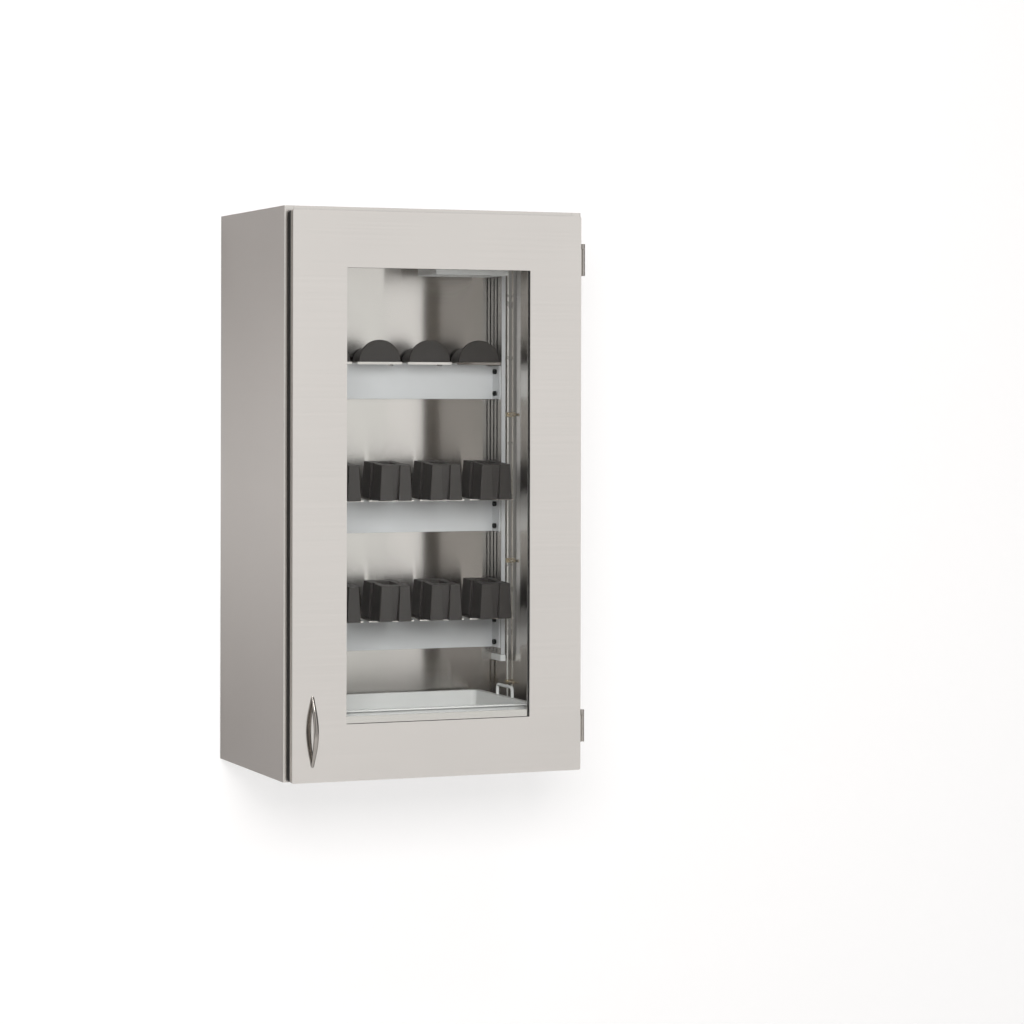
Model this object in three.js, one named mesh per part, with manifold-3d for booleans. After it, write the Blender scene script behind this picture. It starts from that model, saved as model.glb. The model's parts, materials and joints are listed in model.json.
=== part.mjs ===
// Wall-hung stainless steel scope cabinet with a framed glass door.
// Millimetres, +Z up. The wall is the plane y = 0 and the door faces -Y.
// Heights are written from the underside of the case; the finished group is
// lowered by half the case height, so the origin is the centre of the back.
import * as THREE from 'three';
import { mergeVertices } from 'three/addons/utils/BufferGeometryUtils.js';
import Module from 'manifold-3d';

const wasm = await Module();
wasm.setup();

// Case
const CASE_WIDTH = 510;
const CASE_DEPTH = 340;
const CASE_HEIGHT = 910;
const CASE_SHEET = 1.5;
const FRONT_FLANGE = 16;
const SILL_HEIGHT = 100;
const WALL_HOLE_DIAMETER = 9;
const WALL_HOLE_SPACING = 406;
const WALL_HOLE_INSET = 45;

// Door
const DOOR_SIDE_REVEAL = 8;
const DOOR_TOP_REVEAL = 7;
const DOOR_THICKNESS = 12;
const DOOR_SHEET = 1.2;
const DOOR_FRAME_WIDTH = 90;
const DOOR_CORNER_RADIUS = 3;
const WINDOW_CORNER_RADIUS = 1;
const PAN_RETURN = 8;
const GLASS_THICKNESS = 5;
const GLASS_EDGE_COVER = 12;
const GASKET_LIP = 3;
const GASKET_BACK_LIP = 1.2;
const GASKET_EDGE = 2;
const SEAL_THICKNESS = 9;
const SEAL_WIDTH = 7.5;
const SEAL_INSET = 0.5;

// Hinges
const HINGE_AXIS_INSET = 2.4;
const HINGE_AXIS_FORWARD = 14;
const HINGE_CENTRE_INSET = 71;
const KNUCKLE_RADIUS = 3.75;
const KNUCKLE_LENGTH = 21.5;
const PIN_RADIUS = 2;
const PIN_TIP_LENGTH = 8.5;
const LEAF_SHEET = 1.5;
const LEAF_ON_CASE = 24;
const LEAF_LINK = 2;
const LEAF_DOOR_SETBACK = 1;

// Pull handle
const PULL_SETBACK = 33.5;
const PULL_LOW_END = 29;
const PULL_LENGTH = 102;
const PULL_PROJECTION = 19;
const PULL_HALF_WIDTH = 4.2;
const PULL_HALF_THICKNESS = 3;
const PULL_FOOT_TAPER = 0.3;
const PULL_OVERRUN = 0.07;

// Uprights
const RAIL_WIDTH = 8;
const RAIL_DEPTH = 43;
const RAIL_SIDE_GAP = 10;
const RAIL_BOTTOM = 162;
const RAIL_TOP_GAP = 25;
const RAIL_SLOT_WIDTH = 5.6;
const RAIL_SLOT_DEPTH = 5;
const RAIL_SLOT_SPACING = 15;
const CAP_HEIGHT = 11;
const CAP_MARGIN = 0.8;

// Bars, their shelves and their screws
const BAR_SHEET = 2;
const BAR_HEIGHT = 57;
const BAR_BACK_GAP = 5;
const BAR_FLANGE_DEPTH = 34;
const UPPER_BAR_LEVEL = 604;
const MIDDLE_BAR_LEVEL = 375;
const LOWER_BAR_LEVEL = 174;
const SHELF_WIDTH = 80;
const HANGER_SHELF_RISE = 5.8;
const HANGER_SHELF_REACH = 71.5;
const HANGER_SHELF_LIP = 4.5;
const HOLDER_SHELF_RISE = 11.5;
const HOLDER_SHELF_REACH = 131;
const HOLDER_SHELF_LIP = 2.5;
const HOLDER_TILT = THREE.MathUtils.degToRad(3.5);
const SCREW_SPACING = 38;
const SCREW_HEAD_RADIUS = 4.4;
const SCREW_HEAD_HEIGHT = 5;
const SCREW_SHANK_RADIUS = 2.4;
const SCREW_SHANK_BITE = 4;
const SCREW_SOCKET_RADIUS = 2.3;
const SCREW_SOCKET_DEPTH = 2.5;

// Hangers and holders, the same number on each bar
const PLACE_COUNT = 5;
const PLACE_SPACING = 90;
const HANGER_LENGTH = 70;
const HANGER_FLANGE_RADIUS = 37.2;
const HANGER_FLANGE_THICKNESS = 6;
const HANGER_BARREL_RADIUS = 25;
const HOLDER_SETBACK = 55.5;
const HOLDER_DEPTH = 95.5;
const HOLDER_HEIGHT = 59.5;
const HOLDER_BASE_WIDTH = 58;
const HOLDER_TOP_WIDTH = 51.5;
const HOLDER_GROOVE_TOP = 15.5;
const HOLDER_GROOVE_BASE = 10.5;
const HOLDER_GROOVE_DEPTH = 9;
const SOCKET_WIDTH = 27;
const SOCKET_LENGTH = 46;
const SOCKET_DEPTH = 48;

// Light
const LIGHT_WIDTH = 132;
const LIGHT_DEPTH = 89;
const LIGHT_HEIGHT = 95;
const LIGHT_SIDE_GAP = 39.5;
const LIGHT_WALL_GAP = 40;
const LENS_MARGIN = 7;
const LENS_THICKNESS = 3;
const LENS_RECESS = 4;

// Drip tray
const TRAY_WIDTH = 396;
const TRAY_DEPTH = 246;
const TRAY_HEIGHT = 100;
const TRAY_WALL = 3;
const TRAY_TAPER = 5;
const TRAY_LIP = 7;
const TRAY_WALL_GAP = 15;
const TRAY_CORNER_RADIUS = 14;
const TRAY_HANDLE_SPAN = 66;
const TRAY_HANDLE_HEIGHT = 17;
const TRAY_HANDLE_RADIUS = 2.8;
const TRAY_HANDLE_BEND = 6;

// Air line
const TUBE_RADIUS = 1.6;
const TUBE_WALL_OFFSET = 4;
const TUBE_BACK_OFFSET = 39;
const NOZZLE_LEVELS = [115, 325, 577];
const NOZZLE_BLOCK = 8;
const NOZZLE_LENGTH = 26;
const NOZZLE_RADIUS = 2;
const NOZZLE_BARB_RADIUS = 2.9;

// Fits, and how finely round shapes are cut into flats
const CLEARANCE = 0.3;
const CUT_MARGIN = 1;
const MERGE_DISTANCE = 1e-4;
const LEAST_CORNER = 0.5;
const ROUND_SIDES = 16;
const SLIM_SIDES = 12;
const SLIM_RADIUS = 3;
const HEX_SIDES = 6;
const PULL_STEPS = 18;
const BEND_STEPS = 4;
const CORNER_STEPS = 2;

// Planes that several pieces share
const caseSide = CASE_WIDTH / 2;
const caseFront = -CASE_DEPTH;
const innerSide = caseSide - CASE_SHEET;
const innerBack = -CASE_SHEET;
const ceiling = CASE_HEIGHT - CASE_SHEET;
const floor = CASE_SHEET;
const doorBack = caseFront - SEAL_THICKNESS - CLEARANCE;
const doorFront = doorBack - DOOR_THICKNESS;
const doorSide = caseSide - DOOR_SIDE_REVEAL;
const doorTop = CASE_HEIGHT - DOOR_TOP_REVEAL;
const hingeX = caseSide - HINGE_AXIS_INSET;
const hingeY = caseFront - HINGE_AXIS_FORWARD;
const railOuter = innerSide - RAIL_SIDE_GAP;
const railInner = railOuter - RAIL_WIDTH;
const barBack = innerBack - BAR_BACK_GAP;
const webFront = barBack - BAR_SHEET;
const flangeFront = barBack - BAR_FLANGE_DEPTH;
const screwY = (webFront + flangeFront) / 2;

const STEEL = new THREE.MeshStandardMaterial({ color: 0xc9c5c0, roughness: 0.35, metalness: 1 });
const SATIN = new THREE.MeshStandardMaterial({ color: 0xb9bcc0, roughness: 0.45, metalness: 1 });
const CHROME = new THREE.MeshStandardMaterial({ color: 0xe2dfda, roughness: 0.15, metalness: 1 });
const GLASS = new THREE.MeshStandardMaterial({
  color: 0xf2f5f4,
  roughness: 0.02,
  transparent: true,
  opacity: 0.2,
});
const RUBBER = new THREE.MeshStandardMaterial({ color: 0x161616, roughness: 0.8 });
const DARK_PLASTIC = new THREE.MeshStandardMaterial({ color: 0x3b3937, roughness: 0.55 });
const WHITE_PLASTIC = new THREE.MeshStandardMaterial({ color: 0xe4e4e4, roughness: 0.4 });
const LENS = new THREE.MeshStandardMaterial({ color: 0xf6f6f2, roughness: 0.5 });
const BLACK_STEEL = new THREE.MeshStandardMaterial({ color: 0x1b1b1c, roughness: 0.5, metalness: 1 });

const cabinet = new THREE.Group();
cabinet.position.z = -CASE_HEIGHT / 2;

function addPiece(name, geometry, material, parent = cabinet) {
  const mesh = new THREE.Mesh(geometry, material);
  mesh.name = name;
  parent.add(mesh);
  return mesh;
}

// Closed solids for joining and cutting
function toSolid(geometry) {
  const bare = geometry.clone();
  for (const name of Object.keys(bare.attributes)) {
    if (name !== 'position') bare.deleteAttribute(name);
  }
  const merged = mergeVertices(bare, MERGE_DISTANCE);
  return new wasm.Manifold(new wasm.Mesh({
    numProp: 3,
    vertProperties: new Float32Array(merged.attributes.position.array),
    triVerts: new Uint32Array(merged.index.array),
  }));
}

function toGeometry(solid) {
  const mesh = solid.getMesh();
  const geometry = new THREE.BufferGeometry();
  geometry.setAttribute('position', new THREE.BufferAttribute(mesh.vertProperties, 3));
  geometry.setIndex(new THREE.BufferAttribute(mesh.triVerts, 1));
  geometry.computeVertexNormals();
  return geometry;
}

function join(first, ...others) {
  return toGeometry(others.reduce((sum, next) => sum.add(toSolid(next)), toSolid(first)));
}

function cut(base, ...cutters) {
  return toGeometry(cutters.reduce((rest, next) => rest.subtract(toSolid(next)), toSolid(base)));
}

// Box between two limits on each axis
function box(x0, x1, y0, y1, z0, z1) {
  const geometry = new THREE.BoxGeometry(x1 - x0, y1 - y0, z1 - z0);
  return geometry.translate((x0 + x1) / 2, (y0 + y1) / 2, (z0 + z1) / 2);
}

// Box on z = 0 whose plan size changes from base to top
function taperedBox(baseWidth, baseDepth, topWidth, topDepth, height) {
  const geometry = box(-0.5, 0.5, -0.5, 0.5, 0, height);
  const position = geometry.attributes.position;
  for (let i = 0; i < position.count; i += 1) {
    const atTop = position.getZ(i) > height / 2;
    position.setX(i, position.getX(i) * (atTop ? topWidth : baseWidth));
    position.setY(i, position.getY(i) * (atTop ? topDepth : baseDepth));
  }
  return geometry;
}

// Round rods along each axis, with fewer sides where they are slim
function rod(radius, length, sides = radius < SLIM_RADIUS ? SLIM_SIDES : ROUND_SIDES) {
  return new THREE.CylinderGeometry(radius, radius, length, sides);
}

function rodX(radius, x0, x1, y, z, sides) {
  const geometry = rod(radius, x1 - x0, sides);
  return geometry.rotateZ(Math.PI / 2).translate((x0 + x1) / 2, y, z);
}

function rodY(radius, x, y0, y1, z) {
  const geometry = rod(radius, y1 - y0);
  return geometry.translate(x, (y0 + y1) / 2, z);
}

function rodZ(radius, x, y, z0, z1) {
  const geometry = rod(radius, z1 - z0);
  return geometry.rotateX(Math.PI / 2).translate(x, y, (z0 + z1) / 2);
}

// Outline in the (y, z) plane, pushed along x
function alongX(points, x0, x1) {
  const shape = new THREE.Shape(points.map(([y, z]) => new THREE.Vector2(y, z)));
  const geometry = new THREE.ExtrudeGeometry(shape, { depth: x1 - x0, bevelEnabled: false });
  const turn = new THREE.Matrix4().makeBasis(
    new THREE.Vector3(0, 1, 0),
    new THREE.Vector3(0, 0, 1),
    new THREE.Vector3(1, 0, 0),
  );
  return geometry.applyMatrix4(turn).translate(x0, 0, 0);
}

function roundedOutline(path, halfWidth, z0, z1, radius) {
  path.moveTo(halfWidth - radius, z0);
  path.absarc(halfWidth - radius, z0 + radius, radius, -Math.PI / 2, 0);
  path.absarc(halfWidth - radius, z1 - radius, radius, 0, Math.PI / 2);
  path.absarc(-halfWidth + radius, z1 - radius, radius, Math.PI / 2, Math.PI);
  path.absarc(-halfWidth + radius, z0 + radius, radius, Math.PI, Math.PI * 1.5);
  path.closePath();
  return path;
}

// Upright plate with rounded corners, from y0 back to y1
function panel(rim, y0, y1, hole = null) {
  const shape = roundedOutline(new THREE.Shape(), rim.half, rim.z0, rim.z1, rim.radius);
  if (hole) {
    shape.holes.push(roundedOutline(new THREE.Path(), hole.half, hole.z0, hole.z1, hole.radius));
  }
  const settings = { depth: y1 - y0, bevelEnabled: false, curveSegments: CORNER_STEPS };
  return new THREE.ExtrudeGeometry(shape, settings).rotateX(Math.PI / 2).translate(0, y1, 0);
}

// Rectangle of the door's plan, drawn in by an inset from its edges
function doorRim(inset, radius) {
  const least = Math.max(radius, LEAST_CORNER);
  return { half: doorSide - inset, z0: inset, z1: doorTop - inset, radius: least };
}

// Closed skin through a row of rings with equal point counts
function loft(rings) {
  const sides = rings[0].length;
  const vertices = rings.flat();
  const index = [];
  for (let r = 0; r + 1 < rings.length; r += 1) {
    for (let s = 0; s < sides; s += 1) {
      const a = r * sides + s;
      const b = r * sides + (s + 1) % sides;
      index.push(a, a + sides, b, b, a + sides, b + sides);
    }
  }
  const last = (rings.length - 1) * sides;
  for (let s = 1; s + 1 < sides; s += 1) {
    index.push(0, s, s + 1, last, last + s + 1, last + s);
  }
  const geometry = new THREE.BufferGeometry();
  geometry.setFromPoints(vertices);
  geometry.setIndex(index);
  geometry.computeVertexNormals();
  return geometry;
}

// Case: two flanged sides, flanged top, bottom with its sill, and back
function addCase() {
  const flangeInner = caseSide - FRONT_FLANGE;
  const flangeBack = caseFront + CASE_SHEET;
  const sideSheet = box(innerSide, caseSide, caseFront, 0, 0, CASE_HEIGHT);
  const sideFlange = box(flangeInner, caseSide, caseFront, flangeBack, 0, CASE_HEIGHT);
  const sidePanel = join(sideSheet, sideFlange);
  addPiece('left_side_panel', mirrored(sidePanel), STEEL);
  addPiece('right_side_panel', sidePanel, STEEL);
  const topSheet = box(-innerSide, innerSide, flangeBack, 0, ceiling, CASE_HEIGHT);
  const flangeLow = CASE_HEIGHT - FRONT_FLANGE;
  const topFlange = box(-flangeInner, flangeInner, caseFront, flangeBack, flangeLow, CASE_HEIGHT);
  addPiece('top_panel', join(topSheet, topFlange), STEEL);
  const bottomSheet = box(-innerSide, innerSide, flangeBack, 0, 0, floor);
  const sill = box(-flangeInner, flangeInner, caseFront, flangeBack, 0, SILL_HEIGHT);
  addPiece('bottom_panel', join(bottomSheet, sill), STEEL);
  const back = box(-innerSide, innerSide, innerBack, 0, floor, ceiling);
  const holes = [];
  for (const x of [-WALL_HOLE_SPACING / 2, WALL_HOLE_SPACING / 2]) {
    for (const z of [WALL_HOLE_INSET, CASE_HEIGHT - WALL_HOLE_INSET]) {
      holes.push(rodY(WALL_HOLE_DIAMETER / 2, x, innerBack - CASE_SHEET, CASE_SHEET, z));
    }
  }
  addPiece('back_panel', cut(back, ...holes), STEEL);
}

// Same shape on the other side of the middle plane
function mirrored(geometry) {
  const copy = geometry.clone().scale(-1, 1, 1);
  const index = copy.index.array;
  for (let i = 0; i < index.length; i += 3) {
    [index[i], index[i + 1]] = [index[i + 1], index[i]];
  }
  copy.computeVertexNormals();
  return copy;
}

// Door: folded skin, glass in its gasket, inner pan folded in around it, and the seal behind
function addDoor() {
  const edge = doorRim(0, DOOR_CORNER_RADIUS);
  const window = doorRim(DOOR_FRAME_WIDTH, WINDOW_CORNER_RADIUS);
  const skinBack = doorFront + DOOR_SHEET;
  const face = panel(edge, doorFront, skinBack, window);
  const returnInner = doorRim(DOOR_SHEET, DOOR_CORNER_RADIUS - DOOR_SHEET);
  const skinReturn = panel(edge, doorFront, doorBack, returnInner);
  addPiece('door_skin', join(face, skinReturn), STEEL);

  const glassFront = skinBack + GASKET_LIP;
  const glassBack = glassFront + GLASS_THICKNESS;
  const glassInset = DOOR_FRAME_WIDTH - GLASS_EDGE_COVER;
  const glassEdge = doorRim(glassInset, WINDOW_CORNER_RADIUS);
  addPiece('window_glass', panel(glassEdge, glassFront, glassBack), GLASS);

  const gasketBack = glassBack + GASKET_BACK_LIP;
  const gasketEdge = doorRim(glassInset - CLEARANCE - GASKET_EDGE, WINDOW_CORNER_RADIUS);
  const gasketSlot = doorRim(glassInset - CLEARANCE, WINDOW_CORNER_RADIUS);
  const frontLip = panel(gasketEdge, skinBack, glassFront, window);
  const edgeStrip = panel(gasketEdge, skinBack, gasketBack, gasketSlot);
  const backLip = panel(gasketEdge, glassBack, gasketBack, window);
  addPiece('glazing_gasket', join(frontLip, edgeStrip, backLip), RUBBER);

  const panInset = DOOR_SHEET + CLEARANCE;
  const panEdge = doorRim(panInset, DOOR_CORNER_RADIUS - panInset);
  const panPlate = panel(panEdge, doorBack - DOOR_SHEET, doorBack, window);
  const panInner = doorRim(panInset + DOOR_SHEET, DOOR_CORNER_RADIUS - panInset - DOOR_SHEET);
  const panFold = panel(panEdge, doorBack - PAN_RETURN, doorBack, panInner);
  const windowFoldEdge = doorRim(DOOR_FRAME_WIDTH - DOOR_SHEET, WINDOW_CORNER_RADIUS + DOOR_SHEET);
  const windowFold = panel(windowFoldEdge, gasketBack, doorBack, window);
  addPiece('door_inner_pan', join(panPlate, panFold, windowFold), STEEL);

  const sealEdge = doorRim(SEAL_INSET, DOOR_CORNER_RADIUS);
  const sealInner = doorRim(SEAL_INSET + SEAL_WIDTH, DOOR_CORNER_RADIUS);
  addPiece('door_seal', panel(sealEdge, doorBack, doorBack + SEAL_THICKNESS, sealInner), RUBBER);
}

// Bow pull: an arc that swells towards the middle, run on past its feet and cut flat at the door
function addPull() {
  const rings = [];
  for (let i = 0; i <= PULL_STEPS; i += 1) {
    const t = -PULL_OVERRUN + (1 + 2 * PULL_OVERRUN) * i / PULL_STEPS;
    const rise = Math.sin(Math.PI * t);
    const slope = Math.atan2(Math.PI * PULL_PROJECTION * Math.cos(Math.PI * t), PULL_LENGTH);
    const swell = 1 - PULL_FOOT_TAPER * (1 - Math.max(rise, 0));
    const ring = [];
    for (let s = 0; s < SLIM_SIDES; s += 1) {
      const angle = 2 * Math.PI * s / SLIM_SIDES;
      const across = PULL_HALF_WIDTH * swell * Math.cos(angle);
      const out = PULL_HALF_THICKNESS * Math.sin(angle);
      const y = doorFront - PULL_PROJECTION * rise - out * Math.cos(slope);
      const z = PULL_LOW_END + PULL_LENGTH * t - out * Math.sin(slope);
      ring.push(new THREE.Vector3(-doorSide + PULL_SETBACK + across, y, z));
    }
    rings.push(ring);
  }
  const behind = box(-caseSide, caseSide, doorFront - CLEARANCE, 0, -CASE_HEIGHT, CASE_HEIGHT);
  addPiece('pull_handle', cut(loft(rings), behind), SATIN);
}

// Lift-off hinges: case leaf and knuckle below, door leaf and knuckle above, one pin
function addHinge(name, centre) {
  const low = centre - KNUCKLE_LENGTH - PIN_TIP_LENGTH / 2;
  const middle = low + KNUCKLE_LENGTH;
  const doorLow = middle + CLEARANCE;
  const high = doorLow + KNUCKLE_LENGTH;
  const bore = rodZ(PIN_RADIUS + CLEARANCE, hingeX, hingeY, low - CUT_MARGIN, high + CUT_MARGIN);

  const plateFront = hingeY + KNUCKLE_RADIUS + LEAF_SHEET;
  const plateOuter = caseSide + LEAF_SHEET;
  const casePlate = box(caseSide, plateOuter, plateFront, caseFront + LEAF_ON_CASE, low, high);
  const caseLink = box(caseSide, plateOuter, hingeY, plateFront + LEAF_SHEET, low, middle);
  const caseKnuckle = rodZ(KNUCKLE_RADIUS, hingeX, hingeY, low, middle);
  addPiece(`${name}_case_leaf`, cut(join(casePlate, caseLink, caseKnuckle), bore), STEEL);

  const plateY = doorFront + LEAF_DOOR_SETBACK;
  const plateBack = doorBack - LEAF_DOOR_SETBACK;
  const doorPlate = box(doorSide, doorSide + LEAF_SHEET, plateY, plateBack, low, high);
  const linkY = hingeY - LEAF_LINK / 2;
  const doorLink = box(doorSide, hingeX, linkY, linkY + LEAF_LINK, doorLow, high);
  const doorKnuckle = rodZ(KNUCKLE_RADIUS, hingeX, hingeY, doorLow, high);
  addPiece(`${name}_door_leaf`, cut(join(doorPlate, doorLink, doorKnuckle), bore), STEEL);

  const tipLow = high + CLEARANCE;
  const shaft = rodZ(PIN_RADIUS, hingeX, hingeY, low, tipLow + CUT_MARGIN);
  const tip = rodZ(KNUCKLE_RADIUS, hingeX, hingeY, tipLow, tipLow + PIN_TIP_LENGTH);
  addPiece(`${name}_pin`, join(shaft, tip), STEEL);
}

// Slotted uprights on the back panel, with moulded caps at their lower ends
function addRails() {
  const railTop = ceiling - RAIL_TOP_GAP;
  const railFront = innerBack - RAIL_DEPTH;
  const rail = box(railInner, railOuter, railFront, innerBack, RAIL_BOTTOM, railTop);
  const slots = [screwY, screwY + RAIL_SLOT_SPACING].map((y) => box(
    railInner - CUT_MARGIN,
    railInner + RAIL_SLOT_DEPTH,
    y - RAIL_SLOT_WIDTH / 2,
    y + RAIL_SLOT_WIDTH / 2,
    RAIL_BOTTOM - CUT_MARGIN,
    railTop + CUT_MARGIN,
  ));
  const slotted = cut(rail, ...slots);
  addPiece('left_rail', mirrored(slotted), SATIN);
  addPiece('right_rail', slotted, SATIN);
  const cap = box(
    railInner - CAP_MARGIN,
    railOuter + CAP_MARGIN,
    railFront - CAP_MARGIN,
    innerBack,
    RAIL_BOTTOM - CAP_HEIGHT,
    RAIL_BOTTOM,
  );
  addPiece('left_rail_cap', mirrored(cap), WHITE_PLASTIC);
  addPiece('right_rail_cap', cap, WHITE_PLASTIC);
}

const hangerShelf = {
  rise: HANGER_SHELF_RISE,
  reach: HANGER_SHELF_REACH,
  lip: HANGER_SHELF_LIP,
  tilt: 0,
};
const holderShelf = {
  rise: HOLDER_SHELF_RISE,
  reach: HOLDER_SHELF_REACH,
  lip: HOLDER_SHELF_LIP,
  tilt: HOLDER_TILT,
};

function placeX(place) {
  return (place - (PLACE_COUNT - 1) / 2) * PLACE_SPACING;
}

// Bar: a web with end flanges turned forward, and a row of lipped shelves folded out of its top edge
function addBar(name, level, { rise, reach, lip, tilt }) {
  const top = level + BAR_HEIGHT;
  const middle = level + BAR_HEIGHT / 2;
  const screwLevels = [middle - SCREW_SPACING / 2, middle + SCREW_SPACING / 2];
  const flangeInner = railInner - BAR_SHEET;
  const holes = screwLevels.map((z) => rodX(SCREW_SHANK_RADIUS + CLEARANCE, 0, caseSide, screwY, z));
  const flange = cut(box(flangeInner, railInner, flangeFront, barBack, level, top), ...holes);
  const web = box(-flangeInner, flangeInner, webFront, barBack, level, top);
  const shelfTop = top + rise;
  const drop = reach * Math.tan(tilt);
  const outline = [
    [barBack, top],
    [barBack, shelfTop],
    [webFront, shelfTop],
    [webFront - reach, shelfTop - drop],
    [webFront - reach, shelfTop - drop - lip],
    [webFront - reach + BAR_SHEET, shelfTop - drop - lip],
    [webFront - reach + BAR_SHEET, shelfTop - drop - BAR_SHEET],
    [webFront, shelfTop - BAR_SHEET],
    [webFront, top],
  ];
  const shelves = [];
  for (let place = 0; place < PLACE_COUNT; place += 1) {
    const x = placeX(place);
    shelves.push(alongX(outline, x - SHELF_WIDTH / 2, x + SHELF_WIDTH / 2));
  }
  addPiece(name, join(web, flange, mirrored(flange), ...shelves), SATIN);
  addBarScrews(name, screwLevels);
}

function addBarScrews(barName, levels) {
  const seat = railInner - BAR_SHEET;
  const headEnd = seat - SCREW_HEAD_HEIGHT;
  for (const [levelName, z] of [['low', levels[0]], ['high', levels[1]]]) {
    const head = rodX(SCREW_HEAD_RADIUS, headEnd, seat, screwY, z);
    const shankEnd = railInner + SCREW_SHANK_BITE;
    const shank = rodX(SCREW_SHANK_RADIUS, seat - CUT_MARGIN, shankEnd, screwY, z);
    const socketEnd = headEnd + SCREW_SOCKET_DEPTH;
    const socket = rodX(SCREW_SOCKET_RADIUS, headEnd - CUT_MARGIN, socketEnd, screwY, z, HEX_SIDES);
    const screw = cut(join(head, shank), socket);
    addPiece(`${barName}_screw_left_${levelName}`, mirrored(screw), BLACK_STEEL);
    addPiece(`${barName}_screw_right_${levelName}`, screw, BLACK_STEEL);
  }
}

// Half disc lying flat side down, its front face at y = 0
function halfDisc(radius, thickness) {
  const shape = new THREE.Shape();
  shape.moveTo(radius, 0);
  shape.absarc(0, 0, radius, 0, Math.PI);
  shape.closePath();
  const settings = { depth: thickness, bevelEnabled: false, curveSegments: ROUND_SIDES };
  return new THREE.ExtrudeGeometry(shape, settings).rotateX(Math.PI / 2).translate(0, thickness, 0);
}

// Hangers lying on the upper shelves: a half-round barrel behind a taller front flange
function addHangers() {
  const base = UPPER_BAR_LEVEL + BAR_HEIGHT + HANGER_SHELF_RISE;
  const flange = halfDisc(HANGER_FLANGE_RADIUS, HANGER_FLANGE_THICKNESS);
  const shape = join(halfDisc(HANGER_BARREL_RADIUS, HANGER_LENGTH), flange);
  for (let place = 0; place < PLACE_COUNT; place += 1) {
    const hanger = addPiece(`hanger_${place + 1}`, shape, DARK_PLASTIC);
    hanger.position.set(placeX(place), webFront - HANGER_SHELF_REACH, base);
  }
}

// Tapered connector holder: a groove down the middle of each side and a socket in the top
function holderShape() {
  const draft = HOLDER_BASE_WIDTH - HOLDER_TOP_WIDTH;
  const topDepth = HOLDER_DEPTH - draft;
  const body = taperedBox(HOLDER_BASE_WIDTH, HOLDER_DEPTH, HOLDER_TOP_WIDTH, topDepth, HOLDER_HEIGHT);
  const topReach = HOLDER_GROOVE_DEPTH * 2;
  const baseReach = topReach + draft;
  const length = HOLDER_HEIGHT + 2 * CUT_MARGIN;
  const cutters = [];
  for (const side of [-1, 1]) {
    const sideGroove = taperedBox(baseReach, HOLDER_GROOVE_BASE, topReach, HOLDER_GROOVE_TOP, length);
    cutters.push(sideGroove.translate(side * (HOLDER_BASE_WIDTH + draft / 2) / 2, 0, -CUT_MARGIN));
    const endGroove = taperedBox(HOLDER_GROOVE_BASE, baseReach, HOLDER_GROOVE_TOP, topReach, length);
    cutters.push(endGroove.translate(0, side * (HOLDER_DEPTH + draft / 2) / 2, -CUT_MARGIN));
  }
  const socket = taperedBox(
    SOCKET_WIDTH - draft,
    SOCKET_LENGTH - draft,
    SOCKET_WIDTH,
    SOCKET_LENGTH,
    SOCKET_DEPTH + CUT_MARGIN,
  );
  cutters.push(socket.translate(0, 0, HOLDER_HEIGHT - SOCKET_DEPTH));
  return cut(body, ...cutters);
}

// Holders lie along the sloping shelves of the two lower bars
function addHolders(shape, name, level) {
  const shelf = level + BAR_HEIGHT + HOLDER_SHELF_RISE;
  for (let place = 0; place < PLACE_COUNT; place += 1) {
    const seat = new THREE.Group();
    seat.position.set(placeX(place), webFront, shelf);
    seat.rotation.x = HOLDER_TILT;
    cabinet.add(seat);
    const holder = addPiece(`${name}_${place + 1}`, shape, DARK_PLASTIC, seat);
    holder.position.set(0, -HOLDER_SETBACK - HOLDER_DEPTH / 2, CLEARANCE);
  }
}

// Light box under the ceiling, with a lens let into its lower face
function addLight() {
  const x1 = innerSide - LIGHT_SIDE_GAP;
  const x0 = x1 - LIGHT_WIDTH;
  const y1 = innerBack - LIGHT_WALL_GAP;
  const y0 = y1 - LIGHT_DEPTH;
  const z0 = ceiling - LIGHT_HEIGHT;
  const body = box(x0, x1, y0, y1, z0, ceiling);
  const inset = LENS_MARGIN - CLEARANCE;
  const recess = box(x0 + inset, x1 - inset, y0 + inset, y1 - inset, z0 - CUT_MARGIN, z0 + LENS_RECESS);
  addPiece('light_housing', cut(body, recess), WHITE_PLASTIC);
  const lensTop = z0 + LENS_RECESS;
  const lens = box(
    x0 + LENS_MARGIN,
    x1 - LENS_MARGIN,
    y0 + LENS_MARGIN,
    y1 - LENS_MARGIN,
    lensTop - LENS_THICKNESS,
    lensTop,
  );
  addPiece('light_lens', lens, LENS);
}

// Level outline of the tray with round corners, drawn in from its rim by an inset
function trayRing(inset, z) {
  const radius = Math.max(TRAY_CORNER_RADIUS - inset, LEAST_CORNER);
  const ring = [];
  for (let quarter = 3; quarter >= 0; quarter -= 1) {
    const x = (quarter % 3 === 0 ? 1 : -1) * (TRAY_WIDTH / 2 - inset - radius);
    const y = (quarter < 2 ? 1 : -1) * (TRAY_DEPTH / 2 - inset - radius);
    for (let step = BEND_STEPS; step >= 0; step -= 1) {
      const angle = Math.PI / 2 * (quarter + step / BEND_STEPS);
      ring.push(new THREE.Vector3(x + radius * Math.cos(angle), y + radius * Math.sin(angle), z));
    }
  }
  return ring;
}

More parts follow.
